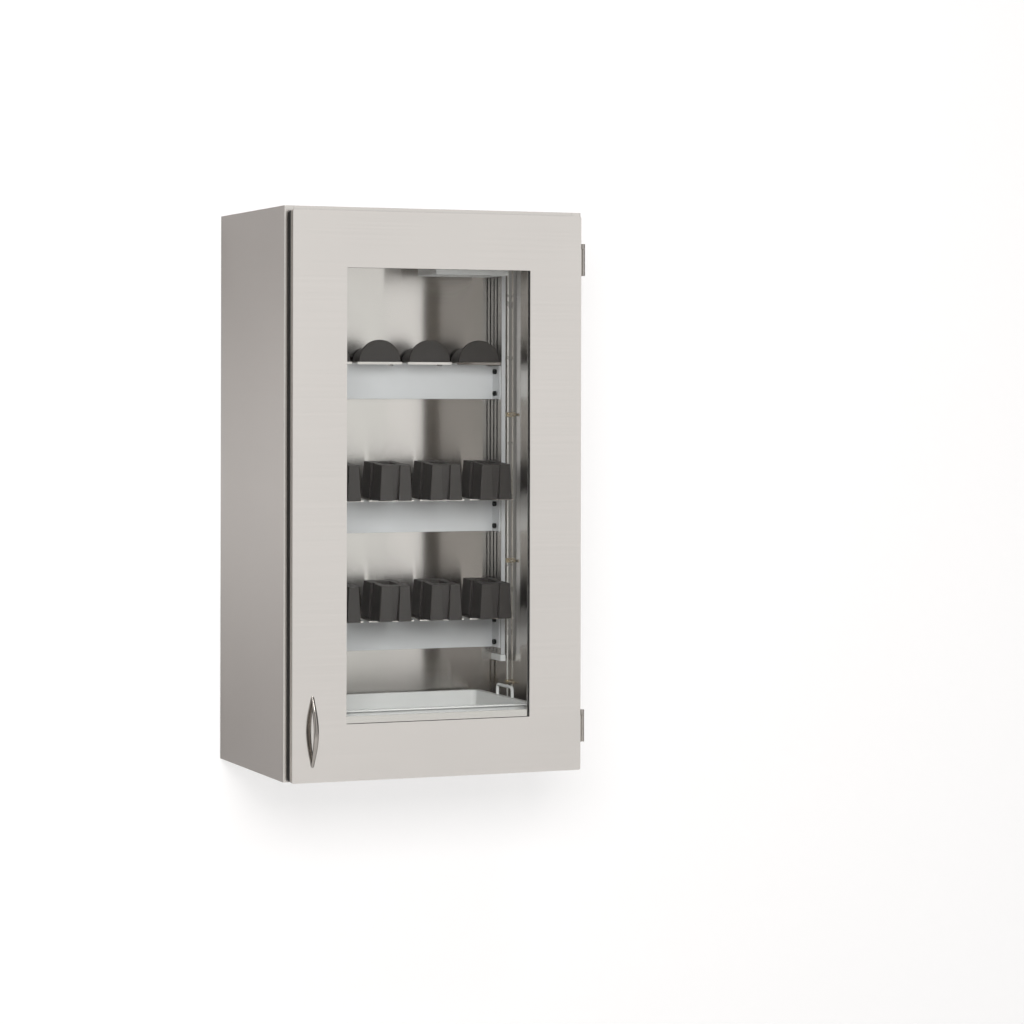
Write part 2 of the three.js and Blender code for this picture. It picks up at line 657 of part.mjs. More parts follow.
// Drip tray standing on the floor behind the sill, with a lifting loop at each end
function addTray() {
  const low = floor + CLEARANCE;
  const rimZ = low + TRAY_HEIGHT;
  const centreY = innerBack - TRAY_WALL_GAP - TRAY_LIP - TRAY_DEPTH / 2;
  const outside = loft([trayRing(TRAY_TAPER, 0), trayRing(0, TRAY_HEIGHT)]);
  const lip = loft([trayRing(-TRAY_LIP, TRAY_HEIGHT - TRAY_WALL), trayRing(-TRAY_LIP, TRAY_HEIGHT)]);
  const inside = loft([
    trayRing(TRAY_TAPER + TRAY_WALL, TRAY_WALL),
    trayRing(TRAY_WALL, TRAY_HEIGHT + CUT_MARGIN),
  ]);
  const tray = cut(join(outside, lip), inside);
  addPiece('drip_tray', tray.translate(0, centreY, low), WHITE_PLASTIC);

  const handleX = TRAY_WIDTH / 2 + TRAY_LIP / 2;
  for (const [name, side] of [['left', -1], ['right', 1]]) {
    const handle = addPiece(`tray_handle_${name}`, trayHandle(), WHITE_PLASTIC);
    handle.position.set(side * handleX, centreY, rimZ + CLEARANCE);
  }
}

// Square-shouldered loop of round rod in the (y, z) plane, its feet on z = 0
function trayHandle() {
  const half = TRAY_HANDLE_SPAN / 2;
  const crown = TRAY_HANDLE_HEIGHT;
  const shoulder = TRAY_HANDLE_BEND;
  const path = [[-half, 0], [-half, crown - shoulder]];
  for (let i = 1; i <= BEND_STEPS; i += 1) {
    const angle = Math.PI / 2 * i / BEND_STEPS;
    const y = -half + shoulder * (1 - Math.cos(angle));
    path.push([y, crown - shoulder * (1 - Math.sin(angle))]);
  }
  const route = [...path, ...path.slice().reverse().map(([y, z]) => [-y, z])];
  const rings = route.map(([y, z], i) => {
    const [beforeY, beforeZ] = route[Math.max(i - 1, 0)];
    const [afterY, afterZ] = route[Math.min(i + 1, route.length - 1)];
    const heading = Math.atan2(afterZ - beforeZ, afterY - beforeY);
    const ring = [];
    for (let s = 0; s < SLIM_SIDES; s += 1) {
      const angle = 2 * Math.PI * s / SLIM_SIDES;
      const out = TRAY_HANDLE_RADIUS * Math.sin(angle);
      ring.push(new THREE.Vector3(
        TRAY_HANDLE_RADIUS * Math.cos(angle),
        y - out * Math.sin(heading),
        z + out * Math.cos(heading),
      ));
    }
    return ring;
  });
  return loft(rings);
}

// Air line up the right wall, with a hose nozzle at each level
function addAirLine() {
  const x = innerSide - TUBE_WALL_OFFSET;
  const y = innerBack - TUBE_BACK_OFFSET;
  addPiece('air_tube', rodZ(TUBE_RADIUS, x, y, floor + CLEARANCE, ceiling - CLEARANCE), CHROME);
  const half = NOZZLE_BLOCK / 2;
  NOZZLE_LEVELS.forEach((z, i) => {
    const block = box(x - half, innerSide, y - half, y + half, z - half, z + half);
    const tip = y - half - NOZZLE_LENGTH;
    const stem = rodY(NOZZLE_RADIUS, x, tip, y, z);
    const barb = new THREE.SphereGeometry(NOZZLE_BARB_RADIUS, SLIM_SIDES, SLIM_SIDES / 2);
    const bore = rodZ(TUBE_RADIUS + CLEARANCE, x, y, z - NOZZLE_BLOCK, z + NOZZLE_BLOCK);
    const nozzle = join(block, stem, barb.translate(x, tip + NOZZLE_BARB_RADIUS, z));
    addPiece(`air_nozzle_${i + 1}`, cut(nozzle, bore), CHROME);
  });
}

addCase();
addDoor();
addPull();
addHinge('lower_hinge', HINGE_CENTRE_INSET);
addHinge('upper_hinge', doorTop - HINGE_CENTRE_INSET);
addRails();
addBar('upper_bar', UPPER_BAR_LEVEL, hangerShelf);
addBar('middle_bar', MIDDLE_BAR_LEVEL, holderShelf);
addBar('lower_bar', LOWER_BAR_LEVEL, holderShelf);
addHangers();
const holder = holderShape();
addHolders(holder, 'middle_holder', MIDDLE_BAR_LEVEL);
addHolders(holder, 'lower_holder', LOWER_BAR_LEVEL);
addLight();
addTray();
addAirLine();

export default cabinet;
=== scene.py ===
# Looks of the wall-hung scope cabinet: finishes, softened edges and moulded pieces.
# Metres, in the frame of the solids: the wall is the plane y = 0, the door faces -Y, +Z is up.
import json
import math

import bmesh
import bpy
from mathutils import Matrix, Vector


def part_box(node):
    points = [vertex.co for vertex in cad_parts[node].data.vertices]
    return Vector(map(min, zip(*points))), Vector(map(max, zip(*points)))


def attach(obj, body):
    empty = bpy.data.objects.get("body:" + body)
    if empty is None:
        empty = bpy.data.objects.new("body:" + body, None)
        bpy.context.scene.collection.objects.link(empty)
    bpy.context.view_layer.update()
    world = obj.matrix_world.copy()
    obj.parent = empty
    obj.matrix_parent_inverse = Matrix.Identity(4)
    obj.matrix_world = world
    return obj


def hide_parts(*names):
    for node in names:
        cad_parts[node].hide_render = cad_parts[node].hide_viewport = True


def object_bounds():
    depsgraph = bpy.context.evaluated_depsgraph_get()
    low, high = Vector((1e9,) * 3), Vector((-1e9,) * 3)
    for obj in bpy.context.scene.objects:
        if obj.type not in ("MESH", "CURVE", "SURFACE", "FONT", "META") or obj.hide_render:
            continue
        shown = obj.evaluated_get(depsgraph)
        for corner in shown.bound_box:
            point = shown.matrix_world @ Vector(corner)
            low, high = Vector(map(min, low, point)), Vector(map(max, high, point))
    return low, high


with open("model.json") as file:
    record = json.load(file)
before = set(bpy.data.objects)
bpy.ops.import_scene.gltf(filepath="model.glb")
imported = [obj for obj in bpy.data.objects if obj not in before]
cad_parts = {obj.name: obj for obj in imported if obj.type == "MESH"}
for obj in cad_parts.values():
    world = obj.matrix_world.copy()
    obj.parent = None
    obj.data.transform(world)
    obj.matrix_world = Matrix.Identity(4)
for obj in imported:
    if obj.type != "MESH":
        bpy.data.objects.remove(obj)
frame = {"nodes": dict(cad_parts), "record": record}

CAD_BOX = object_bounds()
MM = 0.001
WHITE = (1.0, 1.0, 1.0, 1.0)

# Camera, fitted to the straight edges of the case and the door
CAMERA_PLACE = (-1.7446, -4.9069, 0.1636)
CAMERA_YAW = math.radians(-22.358)
CAMERA_ROLL = 0.00197
CAMERA_LENS = 106.86
CAMERA_SENSOR = 36.0
CAMERA_SHIFT_Y = -0.1186

# Wall and floor. Each glows by one strength for the camera and by another for mirrors. The wall's glow for
# mirrors is a painted reflection in the steel side panels, brighter at mid-height
WALL_SIZE = 14.0
WALL_GAP = 1 * MM
WALL_OVERLAP = 20 * MM
WALL_COLOUR = (0.392, 0.380, 0.376)
WALL_GLOW = 0.625
# Painted reflection: how strongly the wall glows for mirrors at mid-height and at its top and bottom
WALL_PAINTED_REFLECTION_MIDDLE = 0.16
WALL_PAINTED_REFLECTION_END = 0.0
FLOOR_DROP = 0.85
FLOOR_COLOUR = (0.65, 0.65, 0.65)
FLOOR_GLOW = 0.35
FLOOR_MIRRORED = 0.40

# Sky and lamps
SKY_STRENGTH = 0.52
SKY_COLOUR = (1.0, 0.995, 0.985)
LAMP_TARGET = (0.0, 0.0, 0.0)
KEY_PLACE = (-0.98, -3.45, 0.68)
KEY_SIZE = (1.4, 0.9)
KEY_POWER = 85.0
TOP_PLACE = (0.1, -2.6, 2.3)
TOP_SIZE = (0.7, 0.4)
TOP_POWER = 12.0

# The photo's inside is lit as if the door stood open, so a weak lamp in front of the glass fills it,
# and a weaker one lights the gap beside the right rail
FILL_PLACE = (0.0, -0.46, -0.05)
FILL_SIZE = (0.30, 0.66)
FILL_POWER = 0.62
GAP_PLACE = (0.253, -0.0225, 0.07)
GAP_SIZE = (0.04, 0.72)
GAP_POWER = 0.032

# The room is darker behind the photographer and off to the right, and mirrors show it so.
# Half is the dark part's half width in degrees, and fade is where the room is at its full brightness
DARK_HEADINGS = (
    {"heading": (-0.380, -0.925, 0.0), "half": 14, "fade": 28, "strength": 0.44},
    {"heading": (0.940, 0.342, 0.0), "half": 62, "fade": 72, "strength": 0.2},
)

# Meshes
WELD = 0.005 * MM
TOUCH = 0.02 * MM
FLAT_ANGLE = math.radians(0.5)
SHARP_ANGLE = math.radians(40)
SMOOTH_ANGLE = math.radians(38)
EDGE_STEPS = 3
ROUND_PROFILE = 0.5

# Radii of edges. A wide one is for the outer edges of a piece whose other edges are finer
FINE_EDGE = 0.3 * MM
SHEET_EDGE = 0.25 * MM
CASE_CORNER = 1.5 * MM
DOOR_RIM = 2.2 * MM
DOOR_RIM_REACH = 4 * MM
WINDOW_EDGE = 0.45 * MM
SEAL_EDGE = 1.2 * MM
HINGE_EDGE = 0.6 * MM
RAIL_EDGE = 0.25 * MM
RAIL_WIDE_EDGE = 0.5 * MM
CAP_EDGE = 0.4 * MM
CAP_WIDE_EDGE = 1.0 * MM
BAR_EDGE = 0.35 * MM
BAR_WIDE_EDGE = 0.5 * MM
SCREW_EDGE = 0.4 * MM
SCREW_WIDE_EDGE = 0.5 * MM
HANGER_EDGE = 1.2 * MM
HOLDER_EDGE = 0.8 * MM
HOLDER_CORNER = 2.4 * MM
HOLDER_CORNER_REACH = 9 * MM
LIGHT_EDGE = 0.4 * MM
LIGHT_WIDE_EDGE = 2.0 * MM
TUBE_EDGE = 0.2 * MM
NOZZLE_EDGE = 0.4 * MM
TRAY_HANDLE_EDGE = 0.2 * MM

# The door's skin is shown as a face and a return, parted just behind the rounded rim
SKIN_PARTING = 2.8 * MM

# A bar's upright web, up to its shelves
WEB_HEIGHT = 57.5 * MM

# Bow pull
PULL_LENGTH = 102 * MM
PULL_HALF_WIDTH = 4.2 * MM
PULL_HALF_THICKNESS = 3 * MM
PULL_FOOT_TAPER = 0.3
PULL_RINGS = 56
PULL_SIDES = 28

# Drip tray
TRAY_WALL = 3 * MM
TRAY_TAPER = 5 * MM
TRAY_LIP = 7 * MM
TRAY_CORNER = 14 * MM
TRAY_FILLET = 6 * MM
TRAY_EDGE = 0.8 * MM
TRAY_LEAST_CORNER = 1 * MM
CORNER_STEPS = 8
FILLET_STEPS = 4

# Names of pieces
SIDES = ("left", "right")
BARS = ("upper_bar", "middle_bar", "lower_bar")
HINGES = ("lower_hinge", "upper_hinge")
PLACES = range(1, 6)
NOZZLES = range(1, 4)
body_of = {node: body for body, nodes in frame["record"]["behaviour"]["bodies"].items() for node in nodes}
slot_of = {part["node"]: part["material_slot"] for part in frame["record"]["subparts"]}


# Shader nodes
def add_node(tree, kind, values=None, **settings):
    """A node with its settings, and with values on its input sockets by name or number."""
    made = tree.nodes.new(kind)
    for name, setting in settings.items():
        setattr(made, name, setting)
    for socket, value in (values or {}).items():
        made.inputs[socket].default_value = value
    return made


def scaled(tree, value, factor):
    """A value times a factor, which is a number or an output of another node."""
    product = add_node(tree, "ShaderNodeMath", operation="MULTIPLY")
    tree.links.new(value, product.inputs[0])
    if isinstance(factor, float):
        product.inputs[1].default_value = factor
    else:
        tree.links.new(factor, product.inputs[1])
    return product.outputs["Value"]


def summed(tree, first, second):
    total = add_node(tree, "ShaderNodeMath", operation="ADD")
    tree.links.new(first, total.inputs[0])
    tree.links.new(second, total.inputs[1])
    return total.outputs["Value"]


def mapped(tree, value, start, end, first, last, course="SMOOTHSTEP"):
    """Goes from the first value to the last while the given one goes from start to end."""
    ends = {"From Min": start, "From Max": end, "To Min": first, "To Max": last}
    span = add_node(tree, "ShaderNodeMapRange", ends, interpolation_type=course)
    tree.links.new(value, span.inputs["Value"])
    return span.outputs["Result"]


def show_mix(tree, output, share, first, second):
    """Shows the first shader, and the second one in its place by a share."""
    mix = add_node(tree, "ShaderNodeMixShader")
    tree.links.new(share, mix.inputs["Fac"])
    tree.links.new(first, mix.inputs[1])
    tree.links.new(second, mix.inputs[2])
    tree.links.new(mix.outputs["Shader"], output.inputs["Surface"])


# Materials. Scales of noise are per metre, and a tone is a share of the colour
NOISE_LOW = 0.25
NOISE_HIGH = 0.75
LOW_DETAIL = 2.0
MIDDLE_DETAIL = 3.0
HIGH_DETAIL = 4.0
QUARTER_TURN = 0.25
BRUSH_SCALE_ALONG = 3.0
BRUSH_DEPTH = 0.002 * MM
BRUSH_RELIEF = 0.1
SHEET_CLOUD_SCALE = 5.0
SHEET_TONE = 0.03
SHEET_ROUGHNESS_SPAN = 0.01
MOULD_GRAIN = 1800.0
MOULD_DEPTH = 0.01 * MM
MOULD_RELIEF = 0.3
MOULD_CLOUD_SCALE = 14.0
MOULD_TONE = 0.06
MOULD_ROUGHNESS_SPAN = 0.05
WIPE_SCALE = 60.0
WIPE_TONE = 0.04
WIPE_ROUGHNESS_SHARE = 0.2
GLASS_TINT = (0.985, 0.990, 0.987, 1.0)
GLASS_ROUGHNESS = 0.01
GLASS_BLEND = 0.5
GLASS_MIRROR_POWER = 5.0
GLASS_MIRROR_FACING = 0.004
GLASS_MIRROR_GRAZING = 0.97


class Finish:
    """A material under one Principled shader, with short calls for the patterns on it."""

    def __init__(self, name, colour, roughness, metallic=0.0):
        self.material = bpy.data.materials.new(name)
        self.material.use_nodes = True
        self.tree = self.material.node_tree
        self.shader = self.tree.nodes["Principled BSDF"]
        self.colour = colour
        self.roughness = roughness
        self.set("Base Color", (*colour, 1.0))
        self.set("Roughness", roughness)
        self.set("Metallic", metallic)

    def set(self, socket, value):
        self.shader.inputs[socket].default_value = value

    def drive(self, socket, source):
        self.tree.links.new(source, self.shader.inputs[socket])

    def noise(self, scale, detail):
        """Noise over the piece, with its own scale along each axis."""
        place = add_node(self.tree, "ShaderNodeTexCoord")
        mapping = add_node(self.tree, "ShaderNodeMapping", {"Scale": scale})
        texture = add_node(self.tree, "ShaderNodeTexNoise", {"Scale": 1.0, "Detail": detail})
        self.tree.links.new(place.outputs["Object"], mapping.inputs["Vector"])
        self.tree.links.new(mapping.outputs["Vector"], texture.inputs["Vector"])
        return texture.outputs["Fac"]

    def mean(self, first, second):
        """The mean of two patterns."""
        return scaled(self.tree, summed(self.tree, first, second), 0.5)

    def tint(self, pattern, tone):
        """Colours the piece a little darker and lighter by a pattern."""
        ramp = add_node(self.tree, "ShaderNodeValToRGB")
        positions = (NOISE_LOW, NOISE_HIGH)
        for element, position, factor in zip(ramp.color_ramp.elements, positions, (1 - tone, 1 + tone)):
            element.position = position
            element.color = (*(channel * factor for channel in self.colour), 1.0)
        self.tree.links.new(pattern, ramp.inputs["Fac"])
        self.drive("Base Color", ramp.outputs["Color"])

    def roughen(self, pattern, span):
        """Makes the piece a little smoother and rougher by a pattern."""
        low = self.roughness - span
        high = self.roughness + span
        self.drive("Roughness", mapped(self.tree, pattern, NOISE_LOW, NOISE_HIGH, low, high, "LINEAR"))

    def bump(self, pattern, depth, strength):
        relief = add_node(self.tree, "ShaderNodeBump", {"Strength": strength, "Distance": depth})
        self.tree.links.new(pattern, relief.inputs["Height"])
        self.drive("Normal", relief.outputs["Normal"])

    def brush(self, stretch, upright):
        """Stretches highlights across the brushing: upright on upright faces, along Y on level ones."""
        axis = "Z" if upright else "X"
        tangent = add_node(self.tree, "ShaderNodeTangent", direction_type="RADIAL", axis=axis)
        self.drive("Tangent", tangent.outputs["Tangent"])
        self.set("Anisotropic", stretch)
        self.set("Anisotropic Rotation", QUARTER_TURN if upright else 0.0)


def brushed_metal(name, colour, roughness, stretch, grain, upright=True, metallic=1.0):
    """Sheet metal brushed along X and Y on upright faces, and along X on level ones."""
    finish = Finish(name, colour, roughness, metallic)
    scale_y = BRUSH_SCALE_ALONG if upright else grain
    lines = finish.noise((BRUSH_SCALE_ALONG, scale_y, grain), HIGH_DETAIL)
    clouds = finish.noise([SHEET_CLOUD_SCALE] * 3, LOW_DETAIL)
    finish.tint(finish.mean(lines, clouds), SHEET_TONE)
    finish.roughen(lines, SHEET_ROUGHNESS_SPAN)
    finish.bump(lines, BRUSH_DEPTH, BRUSH_RELIEF)
    finish.brush(stretch, upright)
    return finish.material


def moulded(name, colour, roughness, grain=MOULD_GRAIN, depth=MOULD_DEPTH):
    """Moulded plastic or rubber with a fine surface texture and faint clouding."""
    finish = Finish(name, colour, roughness)
    texture = finish.noise([grain] * 3, LOW_DETAIL)
    clouds = finish.noise([MOULD_CLOUD_SCALE] * 3, MIDDLE_DETAIL)
    finish.tint(finish.mean(texture, clouds), MOULD_TONE)
    finish.roughen(clouds, MOULD_ROUGHNESS_SPAN)
    finish.bump(texture, depth, MOULD_RELIEF)
    return finish.material


def polished(name, colour, roughness, metallic=1.0):
    """Plated metal with faint wipe marks."""
    finish = Finish(name, colour, roughness, metallic)
    marks = finish.noise([WIPE_SCALE] * 3, MIDDLE_DETAIL)
    finish.tint(marks, WIPE_TONE)
    finish.roughen(marks, roughness * WIPE_ROUGHNESS_SHARE)
    return finish.material


def clear_glass(name):
    """Float glass: a faint green-grey tint, and a mirror that grows towards a glancing view."""
    material = bpy.data.materials.new(name)
    material.use_nodes = True
    tree = material.node_tree
    tree.nodes.clear()
    output = add_node(tree, "ShaderNodeOutputMaterial")
    through = add_node(tree, "ShaderNodeBsdfTransparent", {"Color": GLASS_TINT})
    mirror = add_node(tree, "ShaderNodeBsdfGlossy", {"Roughness": GLASS_ROUGHNESS})
    facing = add_node(tree, "ShaderNodeLayerWeight", {"Blend": GLASS_BLEND})
    power = add_node(tree, "ShaderNodeMath", {1: GLASS_MIRROR_POWER}, operation="POWER")
    rise = {1: GLASS_MIRROR_GRAZING, 2: GLASS_MIRROR_FACING}
    share = add_node(tree, "ShaderNodeMath", rise, operation="MULTIPLY_ADD")
    tree.links.new(facing.outputs["Facing"], power.inputs[0])
    tree.links.new(power.outputs["Value"], share.inputs[0])
    show_mix(tree, output, share.outputs["Value"], through.outputs["BSDF"], mirror.outputs["BSDF"])
    return material


STEEL = {"colour": (0.672, 0.640, 0.608), "roughness": 0.17, "stretch": 1.0, "grain": 420.0}
FINE_GRAIN = 700.0
steel = brushed_metal("brushed_steel", **STEEL)
steel_level = brushed_metal("brushed_steel_level", **STEEL, upright=False)
hinge_steel = brushed_metal("hinge_steel", (0.50, 0.465, 0.43), 0.26, stretch=0.4, grain=FINE_GRAIN)
satin = brushed_metal(
    "satin_aluminium", (0.66, 0.665, 0.675), 0.50, stretch=0.3, grain=FINE_GRAIN, metallic=0.2
)
rail_side = brushed_metal("bright_aluminium", (0.62, 0.61, 0.60), 0.20, stretch=0.9, grain=FINE_GRAIN)
pull_metal = polished("satin_pull", (0.34, 0.315, 0.29), 0.15)
pale_tube = polished("pale_tube", (0.80, 0.78, 0.74), 0.30, metallic=0.4)
plated_brass = polished("plated_brass", (0.74, 0.66, 0.52), 0.2)
black_steel = polished("black_screw", (0.035, 0.034, 0.033), 0.42)
rubber = moulded("black_rubber", (0.018, 0.017, 0.016), 0.72)
dark_plastic = moulded("dark_plastic", (0.036, 0.0318, 0.0295), 0.50)
white_plastic = moulded("white_plastic", (0.84, 0.84, 0.83), 0.38)
tray_plastic = moulded("tray_plastic", (0.64, 0.64, 0.63), 0.38)
lens_plastic = moulded("lens", (0.88, 0.88, 0.86), 0.45, grain=500.0, depth=0.05 * MM)
glass = clear_glass("glass")

# The finish of each slot, for pieces that have none of their own
finish_of = {
    "brushed_steel": steel,
    "satin_aluminium": satin,
    "satin_pull": pull_metal,
    "black_screw": black_steel,
    "black_rubber": rubber,
    "dark_plastic": dark_plastic,
    "white_plastic": white_plastic,
    "lens": lens_plastic,
}


# Pieces
def add_piece(mesh_data, node, material=None, name="finished"):
    """Puts a mesh in place of a node, on the node's own body and in its material slot."""
    mesh = bpy.data.meshes.new(f"{node}_{name}")
    mesh_data.normal_update()
    mesh_data.to_mesh(mesh)
    mesh_data.free()
    mesh.shade_smooth()
    mesh.set_sharp_from_angle(angle=SMOOTH_ANGLE)
    mesh.materials.append(material or finish_of[slot_of[node]])
    piece = bpy.data.objects.new(f"{node}_{name}", mesh)
    bpy.context.scene.collection.objects.link(piece)
    even = piece.modifiers.new("even_shading", "WEIGHTED_NORMAL")
    even.keep_sharp = True
    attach(piece, body_of[node])
    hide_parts(node)
    return piece


def solid_of(node):
    """The node's own solid with its corners welded and its flat faces merged."""
    mesh_data = bmesh.new()
    mesh_data.from_mesh(frame["nodes"][node].data)
    bmesh.ops.remove_doubles(mesh_data, verts=mesh_data.verts, dist=WELD)
    bmesh.ops.dissolve_limit(mesh_data, angle_limit=FLAT_ANGLE, verts=mesh_data.verts, edges=mesh_data.edges)
    return mesh_data


def sharp_edges(mesh_data):
    paired = [edge for edge in mesh_data.edges if len(edge.link_faces) == 2]
    return [edge for edge in paired if edge.calc_face_angle(0.0) > SHARP_ANGLE]


def middle_of(edge):
    return (edge.verts[0].co + edge.verts[1].co) / 2


def on_plane(edge, axis, level):
    return all(abs(vertex.co[axis] - level) < TOUCH for vertex in edge.verts)


def on_box_edge(edge, low, high):
    """True for an edge that runs along an edge of the node's own box."""
    planes = [(axis, corner[axis]) for axis in range(3) for corner in (low, high)]
    return sum(on_plane(edge, axis, level) for axis, level in planes) >= 2


def round_edges(mesh_data, edges, radius):
    if edges:
        bmesh.ops.bevel(
            mesh_data,
            geom=edges,
            offset=radius,
            offset_type="OFFSET",
            segments=EDGE_STEPS,
            profile=ROUND_PROFILE,
            affect="EDGES",
            clamp_overlap=True,
        )


def softened(node, radius, wide_radius=None, is_wide=on_box_edge):
    """The node's solid with its sharp edges rounded, the wide ones first where they have a radius."""
    mesh_data = solid_of(node)
    if wide_radius:
        low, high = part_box(node)
        wide = [edge for edge in sharp_edges(mesh_data) if is_wide(edge, low, high)]
        round_edges(mesh_data, wide, wide_radius)
    round_edges(mesh_data, sharp_edges(mesh_data), radius)
    return mesh_data


def soften(node, radius, wide_radius=None, is_wide=on_box_edge, material=None):
    return add_piece(softened(node, radius, wide_radius, is_wide), node, material)


def skin_of_rings(rings):
    """A closed skin through rings with equal point counts."""
    mesh_data = bmesh.new()
    loops = [[mesh_data.verts.new(point) for point in ring] for ring in rings]
    count = len(loops[0])
    for first, second in zip(loops, loops[1:]):
        for i in range(count):
            j = (i + 1) % count
            mesh_data.faces.new((first[i], first[j], second[j], second[i]))
    mesh_data.faces.new(list(reversed(loops[0])))
    mesh_data.faces.new(loops[-1])
    bmesh.ops.recalc_face_normals(mesh_data, faces=mesh_data.faces)
    return mesh_data


def along_front(edge, low, high):
    """True for the edge where the front of a side panel turns to its outer face."""
    outer = max(low.x, high.x, key=abs)
    return on_plane(edge, 1, low.y) and on_plane(edge, 0, outer)


def dress_case():
    for side in SIDES:
        soften(f"{side}_side_panel", SHEET_EDGE, CASE_CORNER, along_front)
    soften("top_panel", SHEET_EDGE, material=steel_level)
    soften("bottom_panel", SHEET_EDGE)
    soften("back_panel", FINE_EDGE)


def on_front_rim(edge, low, high):
    """True for the folded edge round the front of the door, and not for the window's edge."""
    middle = middle_of(edge)
    near_side = min(middle.x - low.x, high.x - middle.x, middle.z - low.z, high.z - middle.z)
    return on_plane(edge, 1, low.y) and near_side < DOOR_RIM_REACH


def skin_part(in_front):
    """The door's skin on one side of its parting plane, closed where it is parted."""
    mesh_data = softened("door_skin", WINDOW_EDGE, DOOR_RIM, on_front_rim)
    parting = Vector((0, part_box("door_skin")[0].y + SKIN_PARTING, 0))
    parted = bmesh.ops.bisect_plane(
        mesh_data,
        geom=[*mesh_data.verts, *mesh_data.edges, *mesh_data.faces],
        plane_co=parting,
        plane_no=(0, 1, 0),
        clear_outer=in_front,
        clear_inner=not in_front,
    )
    rim = [item for item in parted["geom_cut"] if isinstance(item, bmesh.types.BMEdge)]
    bmesh.ops.triangle_fill(mesh_data, edges=rim, use_beauty=True)
    return mesh_data


def dress_door():
    """In the photo the inside mirrors the open room, so what surrounds the glass is kept out of mirrors."""
    add_piece(skin_part(in_front=False), "door_skin", name="return")
    round_glass = [
        add_piece(skin_part(in_front=True), "door_skin", name="face"),
        soften("door_inner_pan", SHEET_EDGE),
        soften("glazing_gasket", FINE_EDGE),
    ]
    for piece in round_glass:
        piece.visible_glossy = False
    soften("door_seal", SEAL_EDGE)
    pane = frame["nodes"]["window_glass"]
    pane.data.materials.clear()
    pane.data.materials.append(glass)


def dress_hinges():
    for hinge in HINGES:
        for part in ("case_leaf", "door_leaf", "pin"):
            soften(f"{hinge}_{part}", HINGE_EDGE, material=hinge_steel)


def dress_pull():
    """An arc that swells towards its middle, with its feet cut flat on the door."""
    low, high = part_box("pull_handle")
    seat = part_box("door_skin")[0].y
    foot = high.y
    middle = (low + high) / 2
    crown = seat - low.y - PULL_HALF_THICKNESS
    start = middle.z - PULL_LENGTH / 2

    def ring(t, flat=False):
        rise = math.sin(math.pi * t)
        slope = math.atan2(math.pi * crown * math.cos(math.pi * t), PULL_LENGTH)
        half_width = PULL_HALF_WIDTH * (1 - PULL_FOOT_TAPER * (1 - rise))
        points = []
        for s in range(PULL_SIDES):
            angle = 2 * math.pi * s / PULL_SIDES
            out = PULL_HALF_THICKNESS * math.sin(angle)
            y = seat - crown * rise - out * math.cos(slope)
            z = start + PULL_LENGTH * t - out * math.sin(slope)
            if flat:
                z += (y - foot) / math.tan(slope)
                y = foot
            points.append(Vector((middle.x + half_width * math.cos(angle), y, z)))
        return points

    first = math.asin((seat - foot + PULL_HALF_THICKNESS) / crown) / math.pi
    steps = [first + (1 - 2 * first) * i / PULL_RINGS for i in range(PULL_RINGS + 1)]
    rings = [ring(first, flat=True), *map(ring, steps), ring(1 - first, flat=True)]
    add_piece(skin_of_rings(rings), "pull_handle")


def dress_rail(node):
    """The slotted side towards the middle of the case is brighter metal than the rest of the rail."""
    low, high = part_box(node)
    outer = max(low.x, high.x, key=abs)
    rail = soften(node, RAIL_EDGE, RAIL_WIDE_EDGE)
    rail.data.materials.append(rail_side)
    for face in rail.data.polygons:
        in_front = face.center.y - low.y < TOUCH
        outside = abs(face.center.x - outer) < TOUCH
        face.material_index = int(not in_front and not outside)


def dress_bar(node):
    """A bar with its screws. The shelves above its web wear the case's brighter steel, a painted highlight
    for the light their tops catch from above.
    """
    shelf_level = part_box(node)[0].z + WEB_HEIGHT
    bar = soften(node, BAR_EDGE, BAR_WIDE_EDGE)
    # Painted highlight: the faces above the web get the case's steel in place of the bar's satin finish
    bar.data.materials.append(steel)
    for face in bar.data.polygons:
        face.material_index = int(face.center.z > shelf_level)
    for side in SIDES:
        for level in ("low", "high"):
            soften(f"{node}_screw_{side}_{level}", SCREW_EDGE, SCREW_WIDE_EDGE)


def on_upright_corner(edge, low, high):
    """True for the four long corner edges of a tapered holder."""
    middle = middle_of(edge)
    tall = abs(edge.verts[0].co.z - edge.verts[1].co.z) > (high.z - low.z) / 2
    near_x = min(middle.x - low.x, high.x - middle.x) < HOLDER_CORNER_REACH
    near_y = min(middle.y - low.y, high.y - middle.y) < HOLDER_CORNER_REACH
    return tall and near_x and near_y


def dress_fittings():
    for side in SIDES:
        dress_rail(f"{side}_rail")
        soften(f"{side}_rail_cap", CAP_EDGE, CAP_WIDE_EDGE)
    for bar in BARS:
        dress_bar(bar)
    for place in PLACES:
        soften(f"hanger_{place}", HANGER_EDGE)
        for row in ("middle", "lower"):
            soften(f"{row}_holder_{place}", HOLDER_EDGE, HOLDER_CORNER, on_upright_corner)
    soften("light_housing", LIGHT_EDGE, LIGHT_WIDE_EDGE)
    soften("light_lens", LIGHT_EDGE)
    soften("air_tube", TUBE_EDGE, material=pale_tube)
    for place in NOZZLES:
        soften(f"air_nozzle_{place}", NOZZLE_EDGE, material=plated_brass)


def rounded_ring(centre, half_x, half_y, radius, z):
    """A level rectangle with round corners, as a ring of points."""
    ring = []
    for quarter in range(4):
        side_x = 1 if quarter in (0, 3) else -1
        side_y = 1 if quarter in (0, 1) else -1
        for step in range(CORNER_STEPS + 1):
            angle = math.pi / 2 * (quarter + step / CORNER_STEPS)
            x = centre.x + side_x * (half_x - radius) + radius * math.cos(angle)
            y = centre.y + side_y * (half_y - radius) + radius * math.sin(angle)
            ring.append(Vector((x, y, z)))
    return ring


